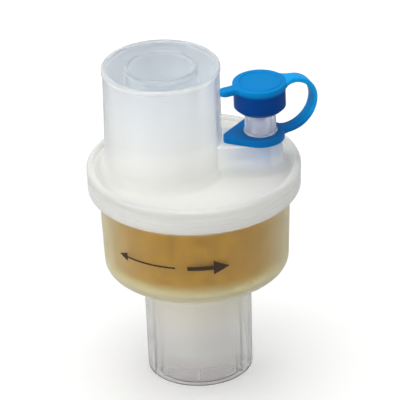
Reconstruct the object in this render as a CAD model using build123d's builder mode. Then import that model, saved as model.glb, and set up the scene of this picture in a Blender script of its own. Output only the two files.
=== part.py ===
from build123d import *
import os
from math import cos, radians, sin, sqrt, tan

# Breathing circuit filter, which warms, moistens and filters the gas that one patient breathes.
# Two translucent moulded shells are welded at a flange. The lower shell is a bowl with the patient
# port under it. The upper shell is a lid with the machine port, which stands off the centre, and
# a luer sampling port. A foam puck fills the bowl, and a felt disc is clamped under the lid.
# A soft cap with a strap and a ring closes the luer port.
# Millimetres, +Z up. The origin is the centre of the patient port's mouth, and +X points to the luer port.

# Cones of the ports: 1 in 40 on the diameter, and 6 in 100 for the luer
PORT_SLOPE = 1 / 80
LUER_SLOPE = 0.03

# Patient port: a 22 mm outer cone with a 15 mm socket inside it
PATIENT_CONE_R = 11.0
PATIENT_CONE_WALL = 1.35
PATIENT_SOCKET_R = 7.75
PATIENT_SOCKET_WALL = 1.0
PATIENT_SOCKET_DEPTH = 17.0
PATIENT_RECESS_DRAFT = 0.12
PATIENT_RIBS = 6
PATIENT_RIB_THICK = 0.7
PATIENT_RIB_SETBACK = 0.6
PATIENT_BORE_R = 6.9
MOUTH_EDGE = 0.3

# Bowl of the lower shell
BOWL_FLOOR_Z = 23.7
BOWL_HEIGHT = 18.4
BOWL_TOP_R = 19.95
BOWL_DRAFT = 2.3
BOWL_WALL = 1.4
BOWL_CORNER = 2.6
FLOOR_THICK = 1.5
FLOOR_RIBS = 8
FLOOR_RIB_THICK = 1.0
FLOOR_RIB_HEIGHT = 1.3
FLOOR_RIB_LENGTH = 7.6

# Weld flange
FLANGE_STEP = 2.35
FLANGE_WALL = 1.9
LOWER_FLANGE_HEIGHT = 4.0
UPPER_FLANGE_HEIGHT = 1.8
FLANGE_ROUND = 0.8
SEAM_STEP = 0.1
FELT_SEAT_DEPTH = 1.8

# Lid of the upper shell
LID_THICK = 1.4
LID_SINK = 0.9
LIP_WIDTH = 1.4
LIP_EDGE = 0.3
SPIGOT_GAP = 0.1
SPIGOT_WALL = 1.4
LID_RIBS = 8
LID_RIB_THICK = 1.0
LID_RIB_HEIGHT = 0.95
LID_RIB_SETBACK = 0.8

# Machine port: a 22 mm socket around a 15 mm cone
MACHINE_PORT_HEIGHT = 23.1
MACHINE_SOCKET_R = 11.2
MACHINE_TUBE_R = 12.1
MACHINE_TUBE_DRAFT = 0.15
MACHINE_BEAD = 0.2
MACHINE_BEAD_HEIGHT = 1.1
MACHINE_FOOT_ROUND = 1.9
MACHINE_CONE_R = 7.61
MACHINE_BORE_R = 6.8
SOCKET_FLOOR_EDGE = 0.5
RIM_EDGE = 0.25

# Luer sampling port
LUER_INSET = 6.8
PORT_SPACING = 20.22
BOSS_LEDGE = 1.3
BOSS_HEIGHT = 6.4
BOSS_DRAFT = 1.0
BOSS_EDGE = 0.3
BOSS_FOOT_ROUND = 1.5
WEB_ROUND = 1.6
WEB_OVERLAP = 0.2
HUB_WALL = 1.165
HUB_TAPER = 0.22
HUB_HEIGHT = 10.8
HUB_BEAD = 0.25
HUB_EDGE = 0.15
LUER_MOUTH_R = 2.135
LUER_DEPTH = 9.0
SAMPLE_BORE_R = 1.2
LUG_REACH = 0.77
LUG_HEIGHT = 1.3
LUG_WIDTH = 3.6
LUG_SETBACK = 0.25

# Filter felt and exchanger foam
FELT_THICK = 2.0
FELT_RIM_THICK = 0.8
FELT_GAP = 0.05
FOAM_GAP = 0.3
FOAM_CHAMFER = 0.5

# Ring of the tether, a rounded triangle with its tip away from the strap
TETHER_ANGLE = 24.5
RING_THICK = 1.5
RING_WIDTH = 1.6
RING_HOLE_GAP = 0.1
RING_TIP_ANGLE = 195.0
RING_TIP_STEP = 1.6
RING_TIP_R = 1.3
RING_BACK_ANGLE = 112.0
RING_BACK_STEP = 0.9
RING_BACK_R = 1.2
RING_EDGE = 0.2
BEAD_GAP = 0.1

# Strap of the tether
STRAP_WIDTH = 2.9
STRAP_THICK = 1.0
STRAP_LOW_BEND = 6.5
STRAP_LOW_INSET = 0.1
STRAP_HIGH_INSET = 0.3
STRAP_RUN = 0.4

# Cap
DISC_LEDGE = 0.2
DISC_THICK = 1.3
DISC_EDGE = 0.3
CAP_ROOM = 0.8
RELIEF_INSET = 1.2
RELIEF_WIDTH = 0.7
RELIEF_HEIGHT = 0.2
SKIRT_GAP = 0.55
SKIRT_WALL = 1.0
SKIRT_LENGTH = 4.8
SKIRT_CHAMFER = 0.7
PLUG_GAP = 0.05
PLUG_SEAL = 3.8
PLUG_STEP = 0.3
PLUG_TIP_R = 1.45
PLUG_TIP_LENGTH = 2.7
PLUG_ROUND = 0.6
TAB_ANGLE = 207.0
TAB_LENGTH = 3.3
TAB_WIDTH = 2.3
TAB_FLARE = 1.0

# Heights that follow from the sizes above
LOWER_FLANGE_Z = BOWL_FLOOR_Z + BOWL_HEIGHT
SEAM_Z = LOWER_FLANGE_Z + LOWER_FLANGE_HEIGHT
LIP_Z = SEAM_Z + UPPER_FLANGE_HEIGHT
LID_Z = LIP_Z - LID_SINK
LID_UNDER_Z = LID_Z - LID_THICK
LID_MID_Z = LID_Z - LID_THICK / 2
FELT_SEAT_Z = SEAM_Z - FELT_SEAT_DEPTH
SPIGOT_END_Z = FELT_SEAT_Z + FELT_RIM_THICK
FELT_TOP_Z = LID_UNDER_Z - LID_RIB_HEIGHT - FELT_GAP
FELT_BOTTOM_Z = FELT_TOP_Z - FELT_THICK
FLOOR_Z = BOWL_FLOOR_Z + FLOOR_THICK
FOAM_BOTTOM_Z = FLOOR_Z + FLOOR_RIB_HEIGHT
FOAM_TOP_Z = FELT_BOTTOM_Z - FOAM_GAP
RECESS_TOP_Z = BOWL_FLOOR_Z - FLOOR_THICK
MACHINE_TOP_Z = LID_Z + MACHINE_PORT_HEIGHT
BOSS_TOP_Z = LID_Z + BOSS_HEIGHT
HUB_TOP_Z = BOSS_TOP_Z + HUB_HEIGHT
RING_TOP_Z = BOSS_TOP_Z + RING_THICK
CAP_ROOF_Z = HUB_TOP_Z + CAP_ROOM
DISC_TOP_Z = CAP_ROOF_Z + DISC_THICK
SKIRT_END_Z = CAP_ROOF_Z - SKIRT_LENGTH
SEAL_END_Z = HUB_TOP_Z - PLUG_SEAL
PLUG_END_Z = SEAL_END_Z - PLUG_TIP_LENGTH
STRAP_LOW_Z = RING_TOP_Z - STRAP_LOW_INSET - STRAP_THICK / 2
STRAP_HIGH_Z = DISC_TOP_Z - STRAP_HIGH_INSET - STRAP_THICK / 2
STRAP_MID_Z = STRAP_LOW_Z + STRAP_LOW_BEND

# Radii and reaches that follow from the sizes above
FLANGE_R = BOWL_TOP_R + FLANGE_STEP
LOWER_FLANGE_R = FLANGE_R - SEAM_STEP
FELT_SEAT_R = FLANGE_R - FLANGE_WALL
LIP_R = FLANGE_R - LIP_WIDTH
LUER_X = LIP_R - LUER_INSET
MACHINE_X = LUER_X - PORT_SPACING
SPIGOT_R = FELT_SEAT_R - SPIGOT_GAP
SPIGOT_INNER_R = SPIGOT_R - SPIGOT_WALL
HUB_R = LUER_MOUTH_R + HUB_WALL
HUB_TIP_R = HUB_R - HUB_TAPER
BOSS_R = HUB_R + BOSS_LEDGE
LUG_R = HUB_TIP_R + LUG_REACH
RING_HOLE_R = HUB_R + RING_HOLE_GAP
RING_R = RING_HOLE_R + RING_WIDTH
SKIRT_INNER_R = LUG_R + SKIRT_GAP
SKIRT_R = SKIRT_INNER_R + SKIRT_WALL
DISC_R = SKIRT_R + DISC_LEDGE
RELIEF_R = DISC_R - RELIEF_INSET
TAB_REACH = DISC_R + TAB_LENGTH
STRAP_ROOT = RING_R + STRAP_RUN
STRAP_HIGH_BEND = STRAP_HIGH_Z - STRAP_MID_Z
STRAP_END = STRAP_ROOT + STRAP_LOW_BEND - STRAP_HIGH_BEND

MACHINE_AXIS = Axis((MACHINE_X, 0, 0), (0, 0, 1))
LUER_AXIS = Axis((LUER_X, 0, 0), (0, 0, 1))


def bowl_radius(z):
    # Outer radius of the bowl's drafted side at a height
    return BOWL_TOP_R - (LOWER_FLANGE_Z - z) * tan(radians(BOWL_DRAFT))


def corner(section, x, y):
    # The corner of a sketch that lies nearest to a point; an upright section counts z as its second number
    return section.vertices().sort_by_distance((x, y, 0))[0]


def around_luer(reach, angle):
    # A point at a reach and an angle round the luer axis
    turn = radians(angle)
    return (LUER_X + reach * cos(turn), reach * sin(turn), 0)


# Lower shell: bowl, flange and patient port are one section, turned round the main axis
cone_top_r = PATIENT_CONE_R + BOWL_FLOOR_Z * PORT_SLOPE
socket_end_r = PATIENT_SOCKET_R - PATIENT_SOCKET_DEPTH * PORT_SLOPE
sleeve_r = PATIENT_SOCKET_R + PATIENT_SOCKET_WALL
recess_r = PATIENT_CONE_R - PATIENT_CONE_WALL
bowl_foot_r = bowl_radius(BOWL_FLOOR_Z)
inner_foot_r = bowl_radius(FLOOR_Z) - BOWL_WALL
inner_top_r = bowl_radius(FELT_SEAT_Z) - BOWL_WALL

with BuildPart() as lower_housing:
    with BuildSketch(Plane.XZ) as section:
        with BuildLine():
            Polyline(
                (PATIENT_CONE_R, 0),
                (cone_top_r, BOWL_FLOOR_Z),
                (bowl_foot_r, BOWL_FLOOR_Z),
                (BOWL_TOP_R, LOWER_FLANGE_Z),
                (LOWER_FLANGE_R, LOWER_FLANGE_Z),
                (LOWER_FLANGE_R, SEAM_Z),
                (FELT_SEAT_R, SEAM_Z),
                (FELT_SEAT_R, FELT_SEAT_Z),
                (inner_top_r, FELT_SEAT_Z),
                (inner_foot_r, FLOOR_Z),
                (PATIENT_BORE_R, FLOOR_Z),
                (PATIENT_BORE_R, PATIENT_SOCKET_DEPTH),
                (socket_end_r, PATIENT_SOCKET_DEPTH),
                (PATIENT_SOCKET_R, 0),
                (sleeve_r, 0),
                (sleeve_r + PATIENT_RECESS_DRAFT, RECESS_TOP_Z),
                (recess_r - PATIENT_RECESS_DRAFT, RECESS_TOP_Z),
                (recess_r, 0),
                close=True,
            )
        make_face()
        chamfer(corner(section, PATIENT_CONE_R, 0), MOUTH_EDGE)
        chamfer(corner(section, PATIENT_SOCKET_R, 0), MOUTH_EDGE)
        chamfer(corner(section, cone_top_r, BOWL_FLOOR_Z), MOUTH_EDGE)
        fillet(corner(section, bowl_foot_r, BOWL_FLOOR_Z), BOWL_CORNER)
        chamfer(corner(section, inner_foot_r, FLOOR_Z), BOWL_CORNER - BOWL_WALL)
        fillet(corner(section, LOWER_FLANGE_R, LOWER_FLANGE_Z), FLANGE_ROUND)
        chamfer(corner(section, LOWER_FLANGE_R, SEAM_Z), SEAM_STEP)
    revolve(axis=Axis.Z)

    # Ribs that tie the 15 mm sleeve to the 22 mm cone, one of them at the front
    rib_start_r = PATIENT_SOCKET_R + PATIENT_SOCKET_WALL / 2
    rib_end_r = PATIENT_CONE_R - PATIENT_CONE_WALL / 2
    with BuildSketch(Plane.XY.offset(PATIENT_RIB_SETBACK)):
        with PolarLocations((rib_start_r + rib_end_r) / 2, PATIENT_RIBS, start_angle=-90):
            Rectangle(rib_end_r - rib_start_r, PATIENT_RIB_THICK)
    extrude(amount=RECESS_TOP_Z - PATIENT_RIB_SETBACK)

    # Ribs that hold the foam off the floor, so that gas spreads under it
    floor_rib_end_r = inner_foot_r - (BOWL_CORNER - BOWL_WALL)
    with BuildSketch(Plane.XY.offset(FLOOR_Z - FLOOR_THICK / 2)):
        with PolarLocations(floor_rib_end_r - FLOOR_RIB_LENGTH / 2, FLOOR_RIBS, start_angle=-90):
            Rectangle(FLOOR_RIB_LENGTH, FLOOR_RIB_THICK)
    extrude(amount=FLOOR_THICK / 2 + FLOOR_RIB_HEIGHT)


# Boss of the luer port, with the web that stiffens it against the machine port. The web rounds out
# into the machine port, and the foot of both rounds out onto the lid as far as the lip leaves room.
web_end_r = MACHINE_TUBE_R - WEB_OVERLAP
web_end_x = MACHINE_X + sqrt(web_end_r ** 2 - BOSS_R ** 2)
boss_room = LIP_R - LUER_X - BOSS_R
boss_foot_round = min(BOSS_FOOT_ROUND, 0.8 * boss_room)

with BuildPart() as luer_boss:
    with BuildSketch(Plane.XY.offset(LID_Z)) as outline:
        with Locations((LUER_X, 0)):
            Circle(BOSS_R)
        with Locations(((MACHINE_X + LUER_X) / 2, 0)):
            Rectangle(LUER_X - MACHINE_X, 2 * BOSS_R)
        with Locations((MACHINE_X, 0)):
            Circle(web_end_r)
        web_ends = [corner(outline, web_end_x, side * BOSS_R) for side in (-1, 1)]
        fillet(web_ends, WEB_ROUND)
    extrude(amount=BOSS_HEIGHT, taper=BOSS_DRAFT)
    chamfer(luer_boss.edges().group_by(Axis.Z)[-1], BOSS_EDGE)
    with BuildSketch(Plane.XY.offset(LID_MID_Z)):
        Circle(LIP_R)
    extrude(amount=LID_Z - LID_MID_Z)
    lid_face = luer_boss.faces().filter_by(Axis.Z).sort_by(Axis.Z)[1]
    fillet(lid_face.inner_wires()[0].edges(), boss_foot_round)


# Upper shell: the lid is turned round the main axis, and each port round its own
tube_height = MACHINE_TOP_Z - LID_Z
tube_foot_r = MACHINE_TUBE_R + MACHINE_TUBE_DRAFT
bead_r = MACHINE_TUBE_R + MACHINE_BEAD
bead_z = MACHINE_TOP_Z - MACHINE_BEAD_HEIGHT
socket_foot_r = MACHINE_SOCKET_R - tube_height * PORT_SLOPE
cone_foot_r = MACHINE_CONE_R + tube_height * PORT_SLOPE
hub_bead_z = RING_TOP_Z + BEAD_GAP
luer_end_z = HUB_TOP_Z - LUER_DEPTH
luer_end_r = LUER_MOUTH_R - LUER_DEPTH * LUER_SLOPE

with BuildPart() as upper_housing:
    with BuildSketch(Plane.XZ) as section:
        with BuildLine():
            Polyline(
                (0, LID_UNDER_Z),
                (SPIGOT_INNER_R, LID_UNDER_Z),
                (SPIGOT_INNER_R, SPIGOT_END_Z),
                (SPIGOT_R, SPIGOT_END_Z),
                (SPIGOT_R, SEAM_Z),
                (FLANGE_R, SEAM_Z),
                (FLANGE_R, LIP_Z),
                (LIP_R, LIP_Z),
                (LIP_R, LID_Z),
                (0, LID_Z),
                close=True,
            )
        make_face()
        fillet(corner(section, FLANGE_R, LIP_Z), FLANGE_ROUND)
        chamfer(corner(section, LIP_R, LIP_Z), LIP_EDGE)
        chamfer(corner(section, FLANGE_R, SEAM_Z), SEAM_STEP)
    revolve(axis=Axis.Z)

    # Ribs under the lid that hold the felt down, clear of the sampling bore
    lid_rib_length = SPIGOT_INNER_R - LID_RIB_SETBACK
    with BuildSketch(Plane.XY.offset(LID_UNDER_Z - LID_RIB_HEIGHT)):
        with PolarLocations(lid_rib_length / 2, LID_RIBS, start_angle=180 / LID_RIBS):
            Rectangle(lid_rib_length, LID_RIB_THICK)
    extrude(amount=LID_RIB_HEIGHT + LID_THICK / 2)

    # Outside of the machine port, with the rounded foot on the lid and the bead at the rim
    with BuildSketch(Plane.XZ):
        with BuildLine():
            foot_x = MACHINE_X + tube_foot_r + MACHINE_FOOT_ROUND
            Polyline((MACHINE_X, MACHINE_TOP_Z), (MACHINE_X, LID_MID_Z), (foot_x, LID_MID_Z), (foot_x, LID_Z))
            CenterArc((foot_x, LID_Z + MACHINE_FOOT_ROUND), MACHINE_FOOT_ROUND, 180, 90)
            Polyline(
                (MACHINE_X + tube_foot_r, LID_Z + MACHINE_FOOT_ROUND),
                (MACHINE_X + MACHINE_TUBE_R, bead_z - MACHINE_BEAD),
                (MACHINE_X + bead_r, bead_z),
                (MACHINE_X + bead_r, MACHINE_TOP_Z),
                (MACHINE_X, MACHINE_TOP_Z),
            )
        make_face()
    revolve(axis=MACHINE_AXIS)

    # Luer hub with the small bead that keeps the ring on
    add(luer_boss.part)
    with BuildSketch(Plane.XZ):
        with BuildLine():
            Polyline(
                (LUER_X, LID_MID_Z),
                (LUER_X + HUB_R, LID_MID_Z),
                (LUER_X + HUB_R, hub_bead_z),
                (LUER_X + HUB_R + HUB_BEAD, hub_bead_z + HUB_BEAD),
                (LUER_X + HUB_R, hub_bead_z + 2 * HUB_BEAD),
                (LUER_X + HUB_TIP_R, HUB_TOP_Z),
                (LUER_X, HUB_TOP_Z),
                close=True,
            )
        make_face()
    revolve(axis=LUER_AXIS)

    # Two lugs of the luer lock
    with BuildSketch(Plane.XY.offset(HUB_TOP_Z - LUG_SETBACK - LUG_HEIGHT)):
        with Locations((LUER_X, 0)):
            Circle(LUG_R)
            Rectangle(2 * LUG_R, LUG_WIDTH, mode=Mode.INTERSECT)
    extrude(amount=LUG_HEIGHT)

    # Socket between the two tubes of the machine port
    with BuildSketch(Plane.XZ) as section:
        with BuildLine():
            Polyline(
                (MACHINE_X + cone_foot_r, LID_Z),
                (MACHINE_X + MACHINE_CONE_R, MACHINE_TOP_Z),
                (MACHINE_X + MACHINE_SOCKET_R, MACHINE_TOP_Z),
                (MACHINE_X + socket_foot_r, LID_Z),
                close=True,
            )
        make_face()
        chamfer(corner(section, MACHINE_X + cone_foot_r, LID_Z), SOCKET_FLOOR_EDGE)
        chamfer(corner(section, MACHINE_X + socket_foot_r, LID_Z), SOCKET_FLOOR_EDGE)
    revolve(axis=MACHINE_AXIS, mode=Mode.SUBTRACT)

    # Gas bore through the port, the lid and its ribs
    with BuildSketch(Plane.XY.offset(LID_UNDER_Z - LID_RIB_HEIGHT)):
        with Locations((MACHINE_X, 0)):
            Circle(MACHINE_BORE_R)
    extrude(amount=MACHINE_TOP_Z - LID_UNDER_Z + LID_RIB_HEIGHT, mode=Mode.SUBTRACT)

    # Luer cone, and the sampling bore from its end to the underside of the lid
    with BuildSketch(Plane.XZ):
        with BuildLine():
            Polyline(
                (LUER_X, LID_UNDER_Z),
                (LUER_X + SAMPLE_BORE_R, LID_UNDER_Z),
                (LUER_X + SAMPLE_BORE_R, luer_end_z),
                (LUER_X + luer_end_r, luer_end_z),
                (LUER_X + LUER_MOUTH_R, HUB_TOP_Z),
                (LUER_X, HUB_TOP_Z),
                close=True,
            )
        make_face()
    revolve(axis=LUER_AXIS, mode=Mode.SUBTRACT)

    # Broken edges of the rims
    chamfer(upper_housing.edges().filter_by_position(Axis.Z, MACHINE_TOP_Z, MACHINE_TOP_Z), RIM_EDGE)
    chamfer(upper_housing.edges().filter_by_position(Axis.Z, HUB_TOP_Z, HUB_TOP_Z), HUB_EDGE)


# Filter felt: its rim is squeezed between the seat and the spigot, its middle stays thick
felt_r = bowl_radius(FELT_BOTTOM_Z) - BOWL_WALL - FOAM_GAP

with BuildPart() as filter_felt:
    with BuildSketch(Plane.XZ):
        with BuildLine():
            Polyline(
                (0, FELT_BOTTOM_Z),
                (felt_r, FELT_BOTTOM_Z),
                (felt_r, FELT_SEAT_Z),
                (SPIGOT_R, FELT_SEAT_Z),
                (SPIGOT_R, SPIGOT_END_Z),
                (SPIGOT_INNER_R, SPIGOT_END_Z),
                (SPIGOT_INNER_R - LID_RIB_SETBACK / 2, FELT_TOP_Z),
                (0, FELT_TOP_Z),
                close=True,
            )
        make_face()
    revolve(axis=Axis.Z)


# Exchanger foam: a puck that follows the bowl's draft and stands on the floor ribs
foam_foot_r = bowl_radius(FOAM_BOTTOM_Z) - BOWL_WALL - FOAM_GAP
foam_top_r = bowl_radius(FOAM_TOP_Z) - BOWL_WALL - FOAM_GAP

with BuildPart() as hme_foam:
    with BuildSketch(Plane.XZ) as section:
        with BuildLine():
            Polyline(
                (0, FOAM_BOTTOM_Z),
                (foam_foot_r, FOAM_BOTTOM_Z),
                (foam_top_r, FOAM_TOP_Z),
                (0, FOAM_TOP_Z),
                close=True,
            )
        make_face()
        chamfer(corner(section, foam_foot_r, FOAM_BOTTOM_Z), FOAM_CHAMFER)
    revolve(axis=Axis.Z)


# Ring of the tether: its outline is drawn tight round three circles
ring_circles = (
    (0, 0, RING_R),
    (RING_R + RING_TIP_STEP, RING_TIP_ANGLE, RING_TIP_R),
    (RING_R + RING_BACK_STEP, RING_BACK_ANGLE, RING_BACK_R),
)

with BuildPart() as tether_ring:
    with BuildSketch(Plane.XY.offset(BOSS_TOP_Z)):
        with BuildLine():
            for reach, angle, radius in ring_circles:
                CenterArc(around_luer(reach, angle)[:2], radius, 0, 360)
        make_hull()
    extrude(amount=RING_THICK)
    fillet(tether_ring.edges().group_by(Axis.Z)[-1], RING_EDGE)
    with BuildSketch(Plane.XY.offset(STRAP_LOW_Z - STRAP_THICK / 2)):
        with Locations(around_luer(STRAP_ROOT / 2, TETHER_ANGLE)[:2]):
            Rectangle(STRAP_ROOT, STRAP_WIDTH, rotation=TETHER_ANGLE)
    extrude(amount=STRAP_THICK)
    with BuildSketch(Plane.XY.offset(BOSS_TOP_Z)):
        with Locations((LUER_X, 0)):
            Circle(RING_HOLE_R)
    extrude(amount=RING_THICK, mode=Mode.SUBTRACT)


# Strap of the tether: a flat ribbon with two bends, in the upright plane through the luer axis
tether_turn = radians(TETHER_ANGLE)
strap_plane = Plane(
    origin=(LUER_X, 0, 0),
    x_dir=(cos(tether_turn), sin(tether_turn), 0),
    z_dir=(sin(tether_turn), -cos(tether_turn), 0),
)
half_thick = STRAP_THICK / 2

with BuildPart() as cap_strap:
    with BuildSketch(strap_plane):
        with BuildLine():
            for side in (-half_thick, half_thick):
                CenterArc((STRAP_ROOT, STRAP_MID_Z), STRAP_LOW_BEND + side, -90, 90)
                CenterArc((STRAP_END, STRAP_MID_Z), STRAP_HIGH_BEND + side, 0, 90)
            Line((STRAP_ROOT, STRAP_LOW_Z - half_thick), (STRAP_ROOT, STRAP_LOW_Z + half_thick))
            Line((STRAP_END, STRAP_HIGH_Z - half_thick), (STRAP_END, STRAP_HIGH_Z + half_thick))
        make_face()
    extrude(amount=STRAP_WIDTH / 2, both=True)


# Cap: disc with thumb tab and strap root, raised ring on top, skirt and plug below
seal_top_r = LUER_MOUTH_R - PLUG_GAP
seal_end_r = seal_top_r - PLUG_SEAL * LUER_SLOPE
tab_tip_reach = TAB_REACH - TAB_WIDTH / 2

with BuildPart() as port_cap:
    with BuildSketch(Plane.XY.offset(CAP_ROOF_Z)) as outline:
        with Locations((LUER_X, 0)):
            Circle(DISC_R)
        with Locations(around_luer(tab_tip_reach / 2, TAB_ANGLE)[:2]):
            Rectangle(tab_tip_reach, TAB_WIDTH, rotation=TAB_ANGLE)
        tab_root = around_luer(DISC_R, TAB_ANGLE)
        fillet(outline.vertices().sort_by_distance(tab_root)[:2], TAB_FLARE)
        with Locations(around_luer(tab_tip_reach, TAB_ANGLE)[:2]):
            Circle(TAB_WIDTH / 2)
    extrude(amount=DISC_THICK)
    fillet(port_cap.edges().group_by(Axis.Z)[-1], DISC_EDGE)

    with BuildSketch(Plane.XY.offset(STRAP_HIGH_Z - half_thick)):
        with Locations(around_luer(STRAP_END / 2, TETHER_ANGLE)[:2]):
            Rectangle(STRAP_END, STRAP_WIDTH, rotation=TETHER_ANGLE)
    extrude(amount=STRAP_THICK)

    with BuildSketch(Plane.XY.offset(DISC_TOP_Z)):
        with Locations((LUER_X, 0)):
            Circle(RELIEF_R + RELIEF_WIDTH / 2)
            Circle(RELIEF_R - RELIEF_WIDTH / 2, mode=Mode.SUBTRACT)
    extrude(amount=RELIEF_HEIGHT, taper=45)

    with BuildSketch(Plane.XZ):
        with BuildLine():
            Polyline(
                (LUER_X + SKIRT_R, CAP_ROOF_Z + DISC_THICK / 2),
                (LUER_X + SKIRT_R, SKIRT_END_Z + SKIRT_CHAMFER),
                (LUER_X + SKIRT_R - SKIRT_CHAMFER, SKIRT_END_Z),
                (LUER_X + SKIRT_INNER_R, SKIRT_END_Z),
                (LUER_X + SKIRT_INNER_R, CAP_ROOF_Z + DISC_THICK / 2),
                close=True,
            )
        make_face()
    revolve(axis=LUER_AXIS)

    with BuildSketch(Plane.XZ) as section:
        with BuildLine():
            Polyline(
                (LUER_X, CAP_ROOF_Z + DISC_THICK / 2),
                (LUER_X + seal_top_r, CAP_ROOF_Z + DISC_THICK / 2),
                (LUER_X + seal_top_r, HUB_TOP_Z),
                (LUER_X + seal_end_r, SEAL_END_Z),
                (LUER_X + PLUG_TIP_R, SEAL_END_Z - PLUG_STEP),
                (LUER_X + PLUG_TIP_R, PLUG_END_Z),
                (LUER_X, PLUG_END_Z),
                close=True,
            )
        make_face()
        fillet(corner(section, LUER_X + PLUG_TIP_R, PLUG_END_Z), PLUG_ROUND)
    revolve(axis=LUER_AXIS)


os.makedirs("parts", exist_ok=True)

lower_housing.part.label = "lower_housing"
export_step(lower_housing.part, "parts/lower_housing.step")

upper_housing.part.label = "upper_housing"
export_step(upper_housing.part, "parts/upper_housing.step")

filter_felt.part.label = "filter_felt"
export_step(filter_felt.part, "parts/filter_felt.step")

hme_foam.part.label = "hme_foam"
export_step(hme_foam.part, "parts/hme_foam.step")

tether_ring.part.label = "tether_ring"
export_step(tether_ring.part, "parts/tether_ring.step")

cap_strap.part.label = "cap_strap"
export_step(cap_strap.part, "parts/cap_strap.step")

port_cap.part.label = "port_cap"
export_step(port_cap.part, "parts/port_cap.step")
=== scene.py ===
import math
import bmesh
import bpy
from mathutils import Matrix, Vector, noise


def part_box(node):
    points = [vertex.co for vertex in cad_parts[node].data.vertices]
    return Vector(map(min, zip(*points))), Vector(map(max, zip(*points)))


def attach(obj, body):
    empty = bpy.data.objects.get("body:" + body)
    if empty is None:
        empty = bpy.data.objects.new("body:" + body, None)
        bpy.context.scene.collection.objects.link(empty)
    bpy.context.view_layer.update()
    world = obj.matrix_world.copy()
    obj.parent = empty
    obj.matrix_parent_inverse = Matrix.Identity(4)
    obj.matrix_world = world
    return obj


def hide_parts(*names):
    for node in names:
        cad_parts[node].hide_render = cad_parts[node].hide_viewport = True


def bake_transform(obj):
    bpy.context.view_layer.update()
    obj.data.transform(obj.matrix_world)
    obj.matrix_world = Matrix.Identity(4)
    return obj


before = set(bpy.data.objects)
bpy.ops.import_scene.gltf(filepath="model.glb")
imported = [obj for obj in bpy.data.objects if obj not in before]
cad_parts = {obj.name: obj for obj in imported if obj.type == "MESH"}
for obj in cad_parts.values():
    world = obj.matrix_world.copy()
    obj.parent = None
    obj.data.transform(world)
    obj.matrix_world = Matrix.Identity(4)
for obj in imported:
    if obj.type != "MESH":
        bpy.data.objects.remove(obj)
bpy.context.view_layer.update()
mm = 0.001
print("frame loaded:", len(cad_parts), "nodes")


# Colours are written as sRGB hex values
def hexToLinear(code):
    channels = [int(code[i:i + 2], 16) / 255 for i in (1, 3, 5)]
    return tuple(c / 12.92 if c <= 0.04045 else ((c + 0.055) / 1.055) ** 2.4 for c in channels) + (1.0,)


def addNode(tree, kind, settings=None, links=None):
    node = tree.nodes.new(kind)
    for name, value in (settings or {}).items():
        if isinstance(name, int) or name in node.inputs:
            node.inputs[name].default_value = value
        else:
            setattr(node, name, value)
    for name, source in (links or {}).items():
        tree.links.new(source, node.inputs[name])
    return node


def newMaterial(name):
    material = bpy.data.materials.new(name)
    material.use_nodes = True
    material.node_tree.nodes.clear()
    return material, material.node_tree


def useMaterial(piece, material):
    piece.data.materials.clear()
    piece.data.materials.append(material)


def addMesh(name, mesh, material, smooth=True):
    piece = bpy.data.objects.new(name, mesh)
    bpy.context.scene.collection.objects.link(piece)
    useMaterial(piece, material)
    mesh.polygons.foreach_set("use_smooth", [smooth] * len(mesh.polygons))
    return piece


def cleanMesh(name, points, faces, join=False):
    # faces look outward, and points that fall together at a pole are joined when asked
    mesh = bpy.data.meshes.new(name)
    mesh.from_pydata(points, [], faces)
    work = bmesh.new()
    work.from_mesh(mesh)
    if join:
        bmesh.ops.remove_doubles(work, verts=work.verts, dist=0.001 * mm)
    bmesh.ops.recalc_face_normals(work, faces=work.faces)
    work.to_mesh(mesh)
    work.free()
    return mesh


def setStops(node, stops, colourOf, whole=1.0):
    # stops are pairs of a place and a value; whole is the place of the ramp's end
    elements = node.color_ramp.elements
    while len(elements) < len(stops):
        elements.new(0.5)
    for i, (stop, value) in enumerate(stops):
        elements[i].position = stop / whole
        elements[i].color = colourOf(value)


def grey(value):
    return (value, value, value, 1)


# Natural polypropylene, injection moulded: milky where the wall is thick, nearly clear where the foam
# touches a thin wall, at the foot and at the luer hub, and milkier at a slanting look, with a satin skin
# and a faint flow ripple. Haze, satin, tint and graze go by height: pairs of millimetres and a value.
shellLooks = {
    "haze": ((0, 0.03), (2.5, 0.06), (7, 0.18), (14, 0.32), (22, 0.46), (26, 0.34), (29, 0.02),
             (40.5, 0.01), (42.3, 0.7), (48.5, 0.64), (56, 0.4), (69, 0.3), (70.1, 0.5)),
    "satin": ((0, 0.08), (21, 0.12), (24, 0.36), (42, 0.3), (46, 0.25), (54, 0.12), (70.1, 0.08)),
    # tint holds painted shade: the lid top, 46 to 48 mm, is painted darker to tone down the top lamp, and
    # the foot is painted a little darker and pinker
    "tint": ((0, "#F2EFF0"), (10, "#F4F3F1"), (19, "#F1EEE5"), (24, "#FAF1D8"), (28, "#FBF0C6"),
             (40.5, "#FBF0C6"), (42.3, "#FFFFFC"), (44.6, "#FFFFFC"), (46.0, "#E2E1DD"),
             (48.0, "#ECEBE8"), (53, "#FAFAF8"), (70.1, "#F6F9FC")),
    "graze": ((0, 0.8), (20, 0.8), (26, 0.9), (40.5, 0.9), (42.3, 0.55), (70.1, 0.5)),
    "grazePower": 3.5,
    "topMm": 70.1,
    # the hub's haze is its own clearness; its tint is a painted blue reflection of the cap and plug
    "hub": {"axisMm": 14.1, "reachMm": 4.2, "fromMm": 54.9, "haze": 0.24, "tint": "#F2F3FF"},
    # painted shade with blue reflected light on the boss under the ring
    "paintedBlueShade": {"reachMm": (4.6, 10.0), "heightMm": (46.6, 51.5), "tint": "#CFD9EE"},
    # painted shade on the walls inside the machine port, seen through its mouth
    "bore": {"axisMm": -6.12, "reachMm": (11.2, 12.4), "heightMm": (47.0, 58.0), "tint": "#C2C9D2"},
    "shade": "#F8FAFA",
    "glowMm": 2.5,
    "specular": 0.18,
    "ior": 1.49,
    "rippleMm": 6.0,
    "rippleDepthMm": 0.05,
    "rippleStrength": 0.06,
}


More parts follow.
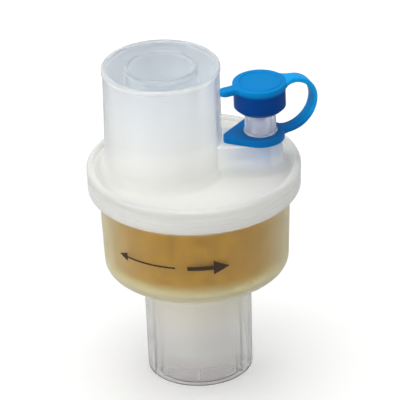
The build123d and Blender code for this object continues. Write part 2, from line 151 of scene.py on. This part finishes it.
def naturalPolypropylene():
    d, hub, paintedBlueShade, bore = shellLooks, shellLooks["hub"], shellLooks["paintedBlueShade"], shellLooks["bore"]
    material, tree = newMaterial("naturalPolypropylene")
    place = addNode(tree, "ShaderNodeTexCoord")
    light = addNode(tree, "ShaderNodeLightPath")
    ripple = addNode(tree, "ShaderNodeTexNoise", {"Scale": 1 / (d["rippleMm"] * mm), "Detail": 2.0},
                     {"Vector": place.outputs["Object"]})
    bump = addNode(tree, "ShaderNodeBump", {"Strength": d["rippleStrength"],
                                            "Distance": d["rippleDepthMm"] * mm},
                   {"Height": ripple.outputs["Fac"]})
    split = addNode(tree, "ShaderNodeSeparateXYZ", links={0: place.outputs["Object"]})
    height = addNode(tree, "ShaderNodeMath", {"operation": "DIVIDE", 1: d["topMm"] * mm},
                     {0: split.outputs["Z"]})
    byHeight = {}
    for look, colourOf in (("haze", grey), ("tint", hexToLinear), ("satin", grey), ("graze", grey)):
        byHeight[look] = addNode(tree, "ShaderNodeValToRGB", links={"Fac": height.outputs[0]})
        setStops(byHeight[look], d[look], colourOf, d["topMm"])

    # distances from the axes of the luer hub and of the machine port
    distance = {}
    for port, axis in (("luer", hub["axisMm"]), ("machine", bore["axisMm"])):
        offset = addNode(tree, "ShaderNodeVectorMath", {"operation": "SUBTRACT", 1: (axis * mm, 0, 0)},
                         {0: place.outputs["Object"]})
        flat = addNode(tree, "ShaderNodeVectorMath", {"operation": "MULTIPLY", 1: (1, 1, 0)},
                       {0: offset.outputs[0]})
        distance[port] = addNode(tree, "ShaderNodeVectorMath", {"operation": "LENGTH"},
                                 {0: flat.outputs[0]})

    # the hub is clear: it is near the luer axis and above the ring
    near = addNode(tree, "ShaderNodeMath", {"operation": "LESS_THAN", 1: hub["reachMm"] * mm},
                   {0: distance["luer"].outputs["Value"]})
    above = addNode(tree, "ShaderNodeMath", {"operation": "GREATER_THAN", 1: hub["fromMm"] * mm},
                    {0: split.outputs["Z"]})
    atHub = addNode(tree, "ShaderNodeMath", {"operation": "MULTIPLY"},
                    {0: near.outputs[0], 1: above.outputs[0]})
    haze = addNode(tree, "ShaderNodeMix", {"data_type": "FLOAT", 3: hub["haze"]},
                   {0: atHub.outputs[0], 2: byHeight["haze"].outputs[0]})

    # painted shade and blue reflected light on the milky boss under the cap and ring, and painted shade
    # on the walls inside the machine port where they are looked at through the mouth
    colour = byHeight["tint"].outputs["Color"]
    for port, zone in (("luer", paintedBlueShade), ("machine", bore)):
        (inner, outer), (foot, head) = zone["reachMm"], zone["heightMm"]
        beside = addNode(tree, "ShaderNodeMapRange", {"From Min": inner * mm, "From Max": outer * mm,
                                                      "To Min": 1.0, "To Max": 0.0},
                         {"Value": distance[port].outputs["Value"]})
        upward = addNode(tree, "ShaderNodeMapRange", {"From Min": foot * mm, "From Max": head * mm},
                         {"Value": split.outputs["Z"]})
        share = addNode(tree, "ShaderNodeMath", {"operation": "MULTIPLY"},
                        {0: beside.outputs[0], 1: upward.outputs[0]})
        # the painted well shade shows to camera rays only
        if zone is bore:
            share = addNode(tree, "ShaderNodeMath", {"operation": "MULTIPLY"},
                            {0: share.outputs[0], 1: light.outputs["Is Camera Ray"]})
        toned = addNode(tree, "ShaderNodeMix", {"data_type": "RGBA", 7: hexToLinear(zone["tint"])},
                        {0: share.outputs[0], 6: colour})
        colour = toned.outputs[2]
    # the hub's faint lavender is a painted blue reflection of the cap and plug
    colour = addNode(tree, "ShaderNodeMix", {"data_type": "RGBA", 7: hexToLinear(hub["tint"])},
                     {0: atHub.outputs[0], 6: colour}).outputs[2]

    # a slanting look passes through more milky plastic
    slant = addNode(tree, "ShaderNodeLayerWeight", {"Blend": 0.5})
    steep = addNode(tree, "ShaderNodeMath", {"operation": "POWER", 1: d["grazePower"]},
                    {0: slant.outputs["Facing"]})
    graze = addNode(tree, "ShaderNodeMath", {"operation": "MULTIPLY"},
                    {0: steep.outputs[0], 1: byHeight["graze"].outputs[0]})
    clearness = addNode(tree, "ShaderNodeMath", {"operation": "SUBTRACT", 0: 1.0}, {1: haze.outputs[0]})
    through = addNode(tree, "ShaderNodeMath", {"operation": "SUBTRACT", "use_clamp": True},
                      {0: clearness.outputs[0], 1: graze.outputs[0]})
    skin = addNode(tree, "ShaderNodeBsdfPrincipled", {
        "IOR": d["ior"],
        "Specular IOR Level": d["specular"],
        "Subsurface Weight": 1.0,
        "Subsurface Radius": (1.0, 1.0, 1.0),
        "Subsurface Scale": d["glowMm"] * mm,
    }, {"Base Color": colour, "Transmission Weight": through.outputs[0],
        "Roughness": byHeight["satin"].outputs["Color"], "Normal": bump.outputs["Normal"]})
    clear = addNode(tree, "ShaderNodeBsdfTransparent", {"Color": hexToLinear(d["shade"])})
    mix = addNode(tree, "ShaderNodeMixShader", links={
        0: light.outputs["Is Shadow Ray"], 1: skin.outputs[0], 2: clear.outputs[0]})
    addNode(tree, "ShaderNodeOutputMaterial", links={"Surface": mix.outputs[0]})
    return material


# Blue polyethylene, soft and injection moulded: low gloss and a fine moulded grain. Colours go by height
# and
# hold painted light and shade: the disc is painted bright, the skirt dark, and the strap lighter than the
# ring.
capLooks = {
    "cap": ((0, "#003E8A"), (60, "#003E8A"), (64.6, "#004290"), (65.6, "#0088D0"), (70.1, "#0088D0")),
    "tether": ((0, "#006EB6"), (55, "#006EB6"), (58, "#10A8F4"), (70.1, "#10A8F4")),
    "roughness": 0.36,
    "specular": 0.08,
    "ior": 1.51,
    "grainMm": 0.35,
    "grainDepthMm": 0.02,
    "grainStrength": 0.15,
}


def bluePolyethylene(name, stops):
    material, tree = newMaterial(name)
    place = addNode(tree, "ShaderNodeTexCoord")
    grain = addNode(tree, "ShaderNodeTexNoise", {"Scale": 1 / (capLooks["grainMm"] * mm), "Detail": 3.0},
                    {"Vector": place.outputs["Object"]})
    bump = addNode(tree, "ShaderNodeBump", {"Strength": capLooks["grainStrength"],
                                            "Distance": capLooks["grainDepthMm"] * mm},
                   {"Height": grain.outputs["Fac"]})
    split = addNode(tree, "ShaderNodeSeparateXYZ", links={0: place.outputs["Object"]})
    height = addNode(tree, "ShaderNodeMath", {"operation": "DIVIDE", 1: shellLooks["topMm"] * mm},
                     {0: split.outputs["Z"]})
    # painted light and shade by height: lighter disc and strap, darker skirt and ring
    shade = addNode(tree, "ShaderNodeValToRGB", links={"Fac": height.outputs[0]})
    setStops(shade, stops, hexToLinear, shellLooks["topMm"])
    skin = addNode(tree, "ShaderNodeBsdfPrincipled", {
        "Roughness": capLooks["roughness"],
        "IOR": capLooks["ior"],
        "Specular IOR Level": capLooks["specular"],
    }, {"Base Color": shade.outputs["Color"], "Normal": bump.outputs["Normal"]})
    addNode(tree, "ShaderNodeOutputMaterial", links={"Surface": skin.outputs[0]})
    return material


# Reticulated polyurethane foam, treated with a salt: ochre, with open cells half a millimetre wide
foamLooks = {
    "shades": ((0.4, "#825E08"), (0.95, "#AE8A12")),
    "cellMm": 0.55,
    "cellShare": 0.5,
    "cellDepthMm": 0.12,
    "cellStrength": 0.8,
    "patchMm": 2.5,
    "roughness": 0.9,
    "specular": 0.2,
}


def treatedFoam():
    material, tree = newMaterial("treatedFoam")
    place = addNode(tree, "ShaderNodeTexCoord")
    cells = addNode(tree, "ShaderNodeTexVoronoi", {"Scale": 1 / (foamLooks["cellMm"] * mm)},
                    {"Vector": place.outputs["Object"]})
    patches = addNode(tree, "ShaderNodeTexNoise", {"Scale": 1 / (foamLooks["patchMm"] * mm), "Detail": 4.0},
                      {"Vector": place.outputs["Object"]})
    both = addNode(tree, "ShaderNodeMath", {"operation": "MULTIPLY_ADD", 1: foamLooks["cellShare"]},
                   {0: cells.outputs["Distance"], 2: patches.outputs["Fac"]})
    ramp = addNode(tree, "ShaderNodeValToRGB", links={"Fac": both.outputs[0]})
    setStops(ramp, foamLooks["shades"], hexToLinear)
    bump = addNode(tree, "ShaderNodeBump", {"Strength": foamLooks["cellStrength"],
                                            "Distance": foamLooks["cellDepthMm"] * mm},
                   {"Height": cells.outputs["Distance"]})
    skin = addNode(tree, "ShaderNodeBsdfPrincipled", {"Roughness": foamLooks["roughness"],
                                                      "Specular IOR Level": foamLooks["specular"]},
                   {"Base Color": ramp.outputs["Color"], "Normal": bump.outputs["Normal"]})
    addNode(tree, "ShaderNodeOutputMaterial", links={"Surface": skin.outputs[0]})
    return material


# Needled electret felt: white polypropylene fibres, drawn coarser than the real 0.02 mm so that they show
feltLooks = {
    "shades": ((0.3, "#DAD8D0"), (0.7, "#F4F3EF")),
    "fibreMm": 0.25,
    "fibreDepthMm": 0.05,
    "fibreStrength": 0.6,
    "roughness": 0.95,
    "sheen": 0.2,
}


def electretFelt():
    material, tree = newMaterial("electretFelt")
    place = addNode(tree, "ShaderNodeTexCoord")
    fibres = addNode(tree, "ShaderNodeTexNoise", {"Scale": 1 / (feltLooks["fibreMm"] * mm), "Detail": 6.0,
                                                  "Distortion": 2.0}, {"Vector": place.outputs["Object"]})
    ramp = addNode(tree, "ShaderNodeValToRGB", links={"Fac": fibres.outputs["Fac"]})
    setStops(ramp, feltLooks["shades"], hexToLinear)
    bump = addNode(tree, "ShaderNodeBump", {"Strength": feltLooks["fibreStrength"],
                                            "Distance": feltLooks["fibreDepthMm"] * mm},
                   {"Height": fibres.outputs["Fac"]})
    skin = addNode(tree, "ShaderNodeBsdfPrincipled", {"Roughness": feltLooks["roughness"],
                                                      "Sheen Weight": feltLooks["sheen"]},
                   {"Base Color": ramp.outputs["Color"], "Normal": bump.outputs["Normal"]})
    addNode(tree, "ShaderNodeOutputMaterial", links={"Surface": skin.outputs[0]})
    return material


shellPlastic = naturalPolypropylene()
capPlastic = bluePolyethylene("bluePolyethyleneCap", capLooks["cap"])
tetherPlastic = bluePolyethylene("bluePolyethyleneTether", capLooks["tether"])
foamStuff = treatedFoam()
feltStuff = electretFelt()
print("materials made")

for nodeName in ("upper_housing", "lower_housing"):
    useMaterial(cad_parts[nodeName], shellPlastic)
useMaterial(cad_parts["port_cap"], capPlastic)
useMaterial(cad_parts["tether_ring"], tetherPlastic)


def gridOfTurns(name, rings, segments):
    # a ring is a radius and a height; neighbours are joined by quads, and a ring without radius is a pole
    points, faces = [], []
    for radius, height in rings:
        for k in range(segments):
            turn = 2 * math.pi * k / segments
            points.append((radius * math.cos(turn), radius * math.sin(turn), height))
    for i in range(len(rings) - 1):
        for k in range(segments):
            a, b = i * segments + k, i * segments + (k + 1) % segments
            faces.append((a, b, b + segments, a + segments))
    return cleanMesh(name, points, faces, join=True)


# Foam puck: drafted like the bowl, with soft worn edges and an uneven skin
foamPuck = {
    "draft": 2.3,
    "edgeMm": 1.2,
    "unevenMm": 0.12,
    "unevenScaleMm": 1.6,
    "upAndDown": 0.3,
    "rows": 18,
    "edgeRows": 5,
    "segments": 160,
}


def makeFoam():
    d = foamPuck
    low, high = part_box("hme_foam")
    topRadius = high.x
    footRadius = topRadius - (high.z - low.z) * math.tan(math.radians(d["draft"]))
    edge, rows, edgeRows = d["edgeMm"] * mm, d["rows"], d["edgeRows"]

    # rings from the middle of the bottom, round the lower edge, up the side and back over the top
    rings = [((footRadius - edge) * i / rows, low.z) for i in range(rows + 1)]
    for i in range(1, edgeRows + 1):
        turn = math.pi / 2 * i / edgeRows
        rings.append((footRadius - edge + edge * math.sin(turn), low.z + edge - edge * math.cos(turn)))
    for i in range(1, rows):
        share = i / rows
        rings.append((footRadius + (topRadius - footRadius) * share,
                      low.z + edge + (high.z - low.z - 2 * edge) * share))
    for i in range(edgeRows + 1):
        turn = math.pi / 2 * i / edgeRows
        rings.append((topRadius - edge + edge * math.cos(turn), high.z - edge + edge * math.sin(turn)))
    rings += [((topRadius - edge) * i / rows, high.z) for i in range(rows - 1, -1, -1)]

    # dents go inward, mostly to the axis
    mesh = gridOfTurns("foamPuck", rings, d["segments"])
    middle = Vector((0, 0, (low.z + high.z) / 2))
    for vertex in mesh.vertices:
        dent = 1 - noise.noise(vertex.co / (d["unevenScaleMm"] * mm))
        inward = middle - vertex.co
        inward.z *= d["upAndDown"]
        vertex.co += inward.normalized() * dent * d["unevenMm"] * mm / 2
    piece = addMesh("foamPuck", mesh, foamStuff)
    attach(piece, "housing")
    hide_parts("hme_foam")


# Felt disc: held down by the lid's ribs, so it rises a little between them
feltDisc = {
    "ribs": 8,
    "riseMm": 0.3,
    "fadeAtRimMm": 3.0,
    "fadeAtMiddleMm": 6.0,
    "bottomMm": (17.9, 42.6),
    "padMm": (18.2, 44.6),
    "seatZMm": 44.3,
    "rimMm": (18.8, 20.28),
    "rimTopZMm": 45.1,
    "rows": 24,
    "bottomRows": 12,
    "segments": 192,
}


def makeFelt():
    d = feltDisc
    padRadius, padZ = d["padMm"]
    bottomRadius, bottomZ = d["bottomMm"]
    rimInner, rimOuter = d["rimMm"]
    rings = [(padRadius * i / d["rows"], padZ) for i in range(d["rows"] + 1)]
    rings += [(rimInner, d["rimTopZMm"]), (rimOuter, d["rimTopZMm"]), (rimOuter, d["seatZMm"]),
              (padRadius, d["seatZMm"]), (bottomRadius, bottomZ)]
    rings += [(bottomRadius * i / d["bottomRows"], bottomZ) for i in range(d["bottomRows"] - 1, -1, -1)]
    mesh = gridOfTurns("feltDisc", [(r * mm, z * mm) for r, z in rings], d["segments"])
    for vertex in mesh.vertices:
        radius = math.hypot(vertex.co.x, vertex.co.y)
        if vertex.co.z > d["seatZMm"] * mm and radius < padRadius * mm:
            turn = math.atan2(vertex.co.y, vertex.co.x)
            between = 0.5 + 0.5 * math.cos(d["ribs"] * turn)
            soft = min(1.0, (padRadius * mm - radius) / (d["fadeAtRimMm"] * mm))
            soft *= min(1.0, radius / (d["fadeAtMiddleMm"] * mm))
            vertex.co.z += d["riseMm"] * mm * between * soft
    piece = addMesh("feltDisc", mesh, feltStuff)
    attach(piece, "housing")
    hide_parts("filter_felt")


# Tether strap: a ribbon on two bends, which widens where it grows out of the ring and the cap.
# Reaches go out from the luer axis, and the steps are those of the four stretches from ring to cap.
strap = {
    "axisMm": 14.1,
    "angle": 24.5,
    "widthMm": 2.94,
    "thickMm": 1.04,
    "edgeMm": 0.28,
    "lowMm": (5.4, 54.3),
    "lowBendMm": 6.5,
    "highZMm": 65.5,
    "ringEndMm": 4.4,
    "capEndMm": 4.8,
    "steps": (6, 28, 24, 12),
    "flareAtRing": {"reachMm": 6.0, "overMm": 1.6, "growMm": 0.7},
    "flareAtCap": {"reachMm": 7.6, "overMm": 2.8, "growMm": 1.6},
    "blendInMm": 0.6,
}


def strapLine():
    # points of the centreline, and the height of its middle, all in mm
    lowReach, lowZ = strap["lowMm"]
    bend, highZ = strap["lowBendMm"], strap["highZMm"]
    middleZ = lowZ + bend
    highBend = highZ - middleZ
    highReach = lowReach + bend - highBend
    ringSteps, lowSteps, highSteps, capSteps = strap["steps"]
    points = []
    for i in range(ringSteps):
        points.append((strap["ringEndMm"] + (lowReach - strap["ringEndMm"]) * i / ringSteps, lowZ))
    for i in range(lowSteps + 1):
        turn = math.pi / 2 * (i / lowSteps - 1)
        points.append((lowReach + bend * math.cos(turn), middleZ + bend * math.sin(turn)))
    for i in range(1, highSteps + 1):
        turn = math.pi / 2 * i / highSteps
        points.append((highReach + highBend * math.cos(turn), middleZ + highBend * math.sin(turn)))
    for i in range(1, capSteps + 1):
        points.append((highReach + (strap["capEndMm"] - highReach) * i / capSteps, highZ))
    return [Vector((reach, 0, height)) for reach, height in points], middleZ


def roundedSection(width, thick, edge, steps=4):
    section = []
    for cornerX, cornerZ, start in ((1, 1, 0), (-1, 1, 90), (-1, -1, 180), (1, -1, 270)):
        for k in range(steps + 1):
            turn = math.radians(start + 90 * k / steps)
            section.append((cornerX * (width / 2 - edge) + edge * math.cos(turn),
                            cornerZ * (thick / 2 - edge) + edge * math.sin(turn)))
    return section


def makeStrap():
    line, middleZ = strapLine()
    points, faces = [], []
    across = Vector((0, 1, 0))
    for i, spot in enumerate(line):
        ahead = (line[min(i + 1, len(line) - 1)] - line[max(i - 1, 0)]).normalized()
        upward = across.cross(ahead)
        flare = strap["flareAtCap"] if spot.z > middleZ else strap["flareAtRing"]
        widen = flare["growMm"] * (max(0.0, flare["reachMm"] - spot.x) / flare["overMm"]) ** 2
        section = roundedSection(strap["widthMm"] + 2 * widen, strap["thickMm"], strap["edgeMm"])
        for sideways, outward in section:
            points.append(spot + across * sideways + upward * outward)
    count = len(section)
    for i in range(len(line) - 1):
        for k in range(count):
            a, b = i * count + k, i * count + (k + 1) % count
            faces.append((a, b, b + count, a + count))
    faces.append(tuple(range(count)))
    faces.append(tuple(range(len(points) - count, len(points))))
    mesh = cleanMesh("tetherStrap", [tuple(p * mm) for p in points], faces)
    aside = Matrix.Rotation(math.radians(strap["angle"]), 4, "Z")
    mesh.transform(Matrix.Translation((strap["axisMm"] * mm, 0, 0)) @ aside)
    piece = addMesh("tetherStrap", mesh, tetherPlastic)
    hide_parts("cap_strap")
    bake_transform(piece)


# Mark on the bowl, pad printed in brown: a thin arrow one way and a bold arrow the other, for both flows.
# An arrow is its two ends along the bowl, the end with the head, and the widths of line and head.
flowMark = {
    "ink": "#3B2410",
    "wearMm": 0.4,
    "roughness": (0.4, 0.65),
    "middleZMm": 33.1,
    "proudMm": 0.03,
    "sunkMm": 0.01,
    "bowlTopMm": (19.95, 42.1),
    "draft": 2.3,
    "thinArrowMm": (-20.0, -6.0, -1, 0.36, 1.9),
    "boldArrowMm": (-3.4, 5.6, 1, 0.95, 3.2),
    "headLengthMm": (2.4, 3.4),
    "shoulderMm": 0.02,
    "tipMm": 0.04,
    "zeroTurn": -83.0,
    "stepMm": 0.25,
}


def printInk():
    smooth, worn = flowMark["roughness"]
    material, tree = newMaterial("padPrintInk")
    place = addNode(tree, "ShaderNodeTexCoord")
    wear = addNode(tree, "ShaderNodeTexNoise", {"Scale": 1 / (flowMark["wearMm"] * mm), "Detail": 2.0},
                   {"Vector": place.outputs["Object"]})
    rough = addNode(tree, "ShaderNodeMapRange", {"To Min": smooth, "To Max": worn},
                    {"Value": wear.outputs["Fac"]})
    skin = addNode(tree, "ShaderNodeBsdfPrincipled", {"Base Color": hexToLinear(flowMark["ink"])},
                   {"Roughness": rough.outputs[0]})
    addNode(tree, "ShaderNodeOutputMaterial", links={"Surface": skin.outputs[0]})
    return material


def arrowOutline(arrow, headLength):
    # places along the bowl with half of the arrow's width there
    start, end, headEnd, lineWidth, headWidth = arrow
    tip, tail = (end, start) if headEnd > 0 else (start, end)
    neck = tip - headEnd * headLength
    shoulder = neck + headEnd * flowMark["shoulderMm"]
    stops = [(tail, lineWidth), (neck, lineWidth), (shoulder, headWidth), (tip, flowMark["tipMm"])]
    outline = []
    for (a, widthA), (b, widthB) in zip(stops, stops[1:]):
        count = max(1, round(abs(b - a) / flowMark["stepMm"]))
        for i in range(count):
            outline.append((a + (b - a) * i / count, (widthA + (widthB - widthA) * i / count) / 2))
    outline.append((tip, flowMark["tipMm"] / 2))
    return outline


def makeMark():
    d = flowMark
    topRadius, topZ = d["bowlTopMm"]
    sunk, proud = -d["sunkMm"], d["proudMm"]
    points, faces = [], []
    for arrow, headLength in zip((d["thinArrowMm"], d["boldArrowMm"]), d["headLengthMm"]):
        outline = arrowOutline(arrow, headLength)
        for i, (along, reach) in enumerate(outline):
            first = len(points)
            for side, depth in ((-1, sunk), (-1, proud), (1, proud), (1, sunk)):
                z = d["middleZMm"] + side * reach
                radius = topRadius - (topZ - z) * math.tan(math.radians(d["draft"])) + depth
                turn = math.radians(d["zeroTurn"]) + along / topRadius
                points.append((radius * math.cos(turn) * mm, radius * math.sin(turn) * mm, z * mm))
            if i:
                for k in range(4):
                    a, b = first - 4 + k, first - 4 + (k + 1) % 4
                    faces.append((a, b, b + 4, a + 4))
            if i in (0, len(outline) - 1):
                faces.append(tuple(range(first, first + 4)))
    piece = addMesh("flowMark", cleanMesh("flowMark", points, faces), printInk(), smooth=False)
    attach(piece, "housing")


makeFoam()
makeFelt()
makeStrap()
makeMark()
print("soft pieces and mark made")


# Camera: fitted to the outlines in the photo
cameraFacts = {
    "azimuth": 3.3,
    "elevation": 28.256,
    "roll": 2.007,
    "distance": 1.0578,
    "targetRightMm": 1.049,
    "targetZMm": 38.615,
    "lensMm": 456.7,
    "sensorMm": 36.0,
    "clip": (0.05, 20.0),
}


def makeCamera():
    c = cameraFacts
    azimuth, elevation, roll = (math.radians(c[k]) for k in ("azimuth", "elevation", "roll"))
    right = Vector((math.cos(azimuth), math.sin(azimuth), 0))
    level = Vector((-math.sin(azimuth), math.cos(azimuth), 0))
    forward = level * math.cos(elevation) - Vector((0, 0, math.sin(elevation)))
    upward = right.cross(forward)
    rolledRight = right * math.cos(roll) - upward * math.sin(roll)
    rolledUp = right * math.sin(roll) + upward * math.cos(roll)
    data = bpy.data.cameras.new("camera")
    data.lens = c["lensMm"]
    data.sensor_width = c["sensorMm"]
    data.clip_start, data.clip_end = c["clip"]
    camera = bpy.data.objects.new("camera", data)
    bpy.context.scene.collection.objects.link(camera)
    place = right * c["targetRightMm"] * mm + Vector((0, 0, c["targetZMm"] * mm)) - forward * c["distance"]
    turn = Matrix((rolledRight, rolledUp, -forward)).transposed().to_4x4()
    camera.matrix_world = Matrix.Translation(place) @ turn
    bpy.context.scene.camera = camera


# Studio: white floor and world for the camera, both dimmer for all other rays, and three large lamps.
# A lamp's share is the brightness that a white face turned to it takes from it at the aim.
studio = {
    "floorSize": 12.0,
    "floorColour": "#FFFFFF",
    "floorBounce": "#C0C0C0",
    "floorThrough": 0.8,
    "floorLift": 0.12,
    "worldLight": 0.36,
    "worldThrough": 0.95,
    "worldGloss": 0.4,
    "aimZ": 0.04,
    "topBox": {"place": (-0.03, 0.03, 0.7), "size": 0.6, "share": 0.69},
    "leftBox": {"place": (-1.15, -0.6, 0.27), "size": 0.8, "share": 0.42},
    "rightBox": {"place": (0.65, -1.0, 0.3), "size": 0.8, "share": 0.24},
}


def makeFloor():
    material, tree = newMaterial("paleFloor")
    light = addNode(tree, "ShaderNodeLightPath")
    lift = addNode(tree, "ShaderNodeMath", {"operation": "MULTIPLY", 1: studio["floorLift"]},
                   {0: light.outputs["Is Camera Ray"]})
    seen = addNode(tree, "ShaderNodeMath", {"operation": "MULTIPLY_ADD", 1: studio["floorThrough"]},
                   {0: light.outputs["Is Transmission Ray"], 2: light.outputs["Is Camera Ray"]})
    colour = addNode(tree, "ShaderNodeMix", {"data_type": "RGBA", 6: hexToLinear(studio["floorBounce"]),
                                             7: hexToLinear(studio["floorColour"])}, {0: seen.outputs[0]})
    paint = addNode(tree, "ShaderNodeBsdfDiffuse", links={"Color": colour.outputs[2]})
    glow = addNode(tree, "ShaderNodeEmission", links={"Strength": lift.outputs[0]})
    total = addNode(tree, "ShaderNodeAddShader", links={0: paint.outputs[0], 1: glow.outputs[0]})
    addNode(tree, "ShaderNodeOutputMaterial", links={"Surface": total.outputs[0]})
    mesh = bpy.data.meshes.new("floor")
    half = studio["floorSize"] / 2
    corners = [(-half, -half, 0), (half, -half, 0), (half, half, 0), (-half, half, 0)]
    mesh.from_pydata(corners, [], [(0, 1, 2, 3)])
    floor = addMesh("floor", mesh, material, smooth=False)


def makeWorld():
    world = bpy.data.worlds.new("studio")
    bpy.context.scene.world = world
    world.use_nodes = True
    tree = world.node_tree
    tree.nodes.clear()
    light = addNode(tree, "ShaderNodeLightPath")
    through = addNode(tree, "ShaderNodeMapRange", {"To Min": studio["worldGloss"],
                                                   "To Max": studio["worldThrough"]},
                      {"Value": light.outputs["Is Transmission Ray"]})
    bouncing = addNode(tree, "ShaderNodeMix", {"data_type": "FLOAT", 3: studio["worldLight"]},
                       {0: light.outputs["Is Diffuse Ray"], 2: through.outputs[0]})
    strength = addNode(tree, "ShaderNodeMix", {"data_type": "FLOAT", 3: 1.0},
                       {0: light.outputs["Is Camera Ray"], 2: bouncing.outputs[0]})
    back = addNode(tree, "ShaderNodeBackground", {"Color": (1, 1, 1, 1)}, {"Strength": strength.outputs[0]})
    addNode(tree, "ShaderNodeOutputWorld", links={"Surface": back.outputs[0]})


def makeBox(name):
    facts = studio[name]
    place = Vector(facts["place"])
    target = Vector((0, 0, studio["aimZ"]))
    data = bpy.data.lights.new(name, "AREA")
    data.shape = "SQUARE"
    data.size = facts["size"]
    data.energy = facts["share"] * math.pi ** 2 * (place - target).length ** 2
    lamp = bpy.data.objects.new(name, data)
    bpy.context.scene.collection.objects.link(lamp)
    lamp.location = place
    lamp.rotation_mode = "QUATERNION"
    lamp.rotation_quaternion = (target - place).to_track_quat("-Z", "Y")


makeCamera()
makeFloor()
makeWorld()
for lampName in ("topBox", "leftBox", "rightBox"):
    makeBox(lampName)
bpy.context.scene.view_settings.view_transform = "Standard"
print("camera and studio made")
